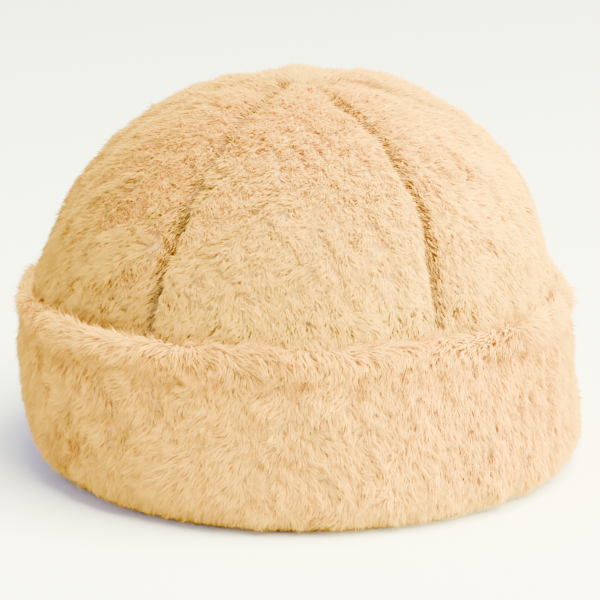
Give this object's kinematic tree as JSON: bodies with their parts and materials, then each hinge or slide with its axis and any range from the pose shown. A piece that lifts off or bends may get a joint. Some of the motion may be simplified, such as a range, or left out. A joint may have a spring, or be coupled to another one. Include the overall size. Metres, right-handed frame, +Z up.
{
  "type": "fur beanie",
  "caption": "Rounded faux-fur beanie with a sewn panelled crown and a wide fur cuff turned up round it, hollow and open below.",
  "frame": {"origin": "middle of the footprint, on the surface that the hat stands on", "axes": "+Z up through the tip, -Y out of the front, +X to the right of the hat as it is seen from the front"},
  "size_m": [0.2249, 0.2564, 0.1535],
  "materials": {
    "crown_fur": "deep matt camel faux fur, short dense tufted pile on a knitted backing",
    "cuff_fur": "deep matt camel faux fur in soft clumped strands"
  },
  "bodies": {
    "root": {"crown_panel_front": "crown_fur", "crown_panel_front_right": "crown_fur", "crown_panel_back_right": "crown_fur", "crown_panel_back": "crown_fur", "crown_panel_back_left": "crown_fur", "crown_panel_front_left": "crown_fur", "cuff": "cuff_fur"}
  },
  "joints": []
}
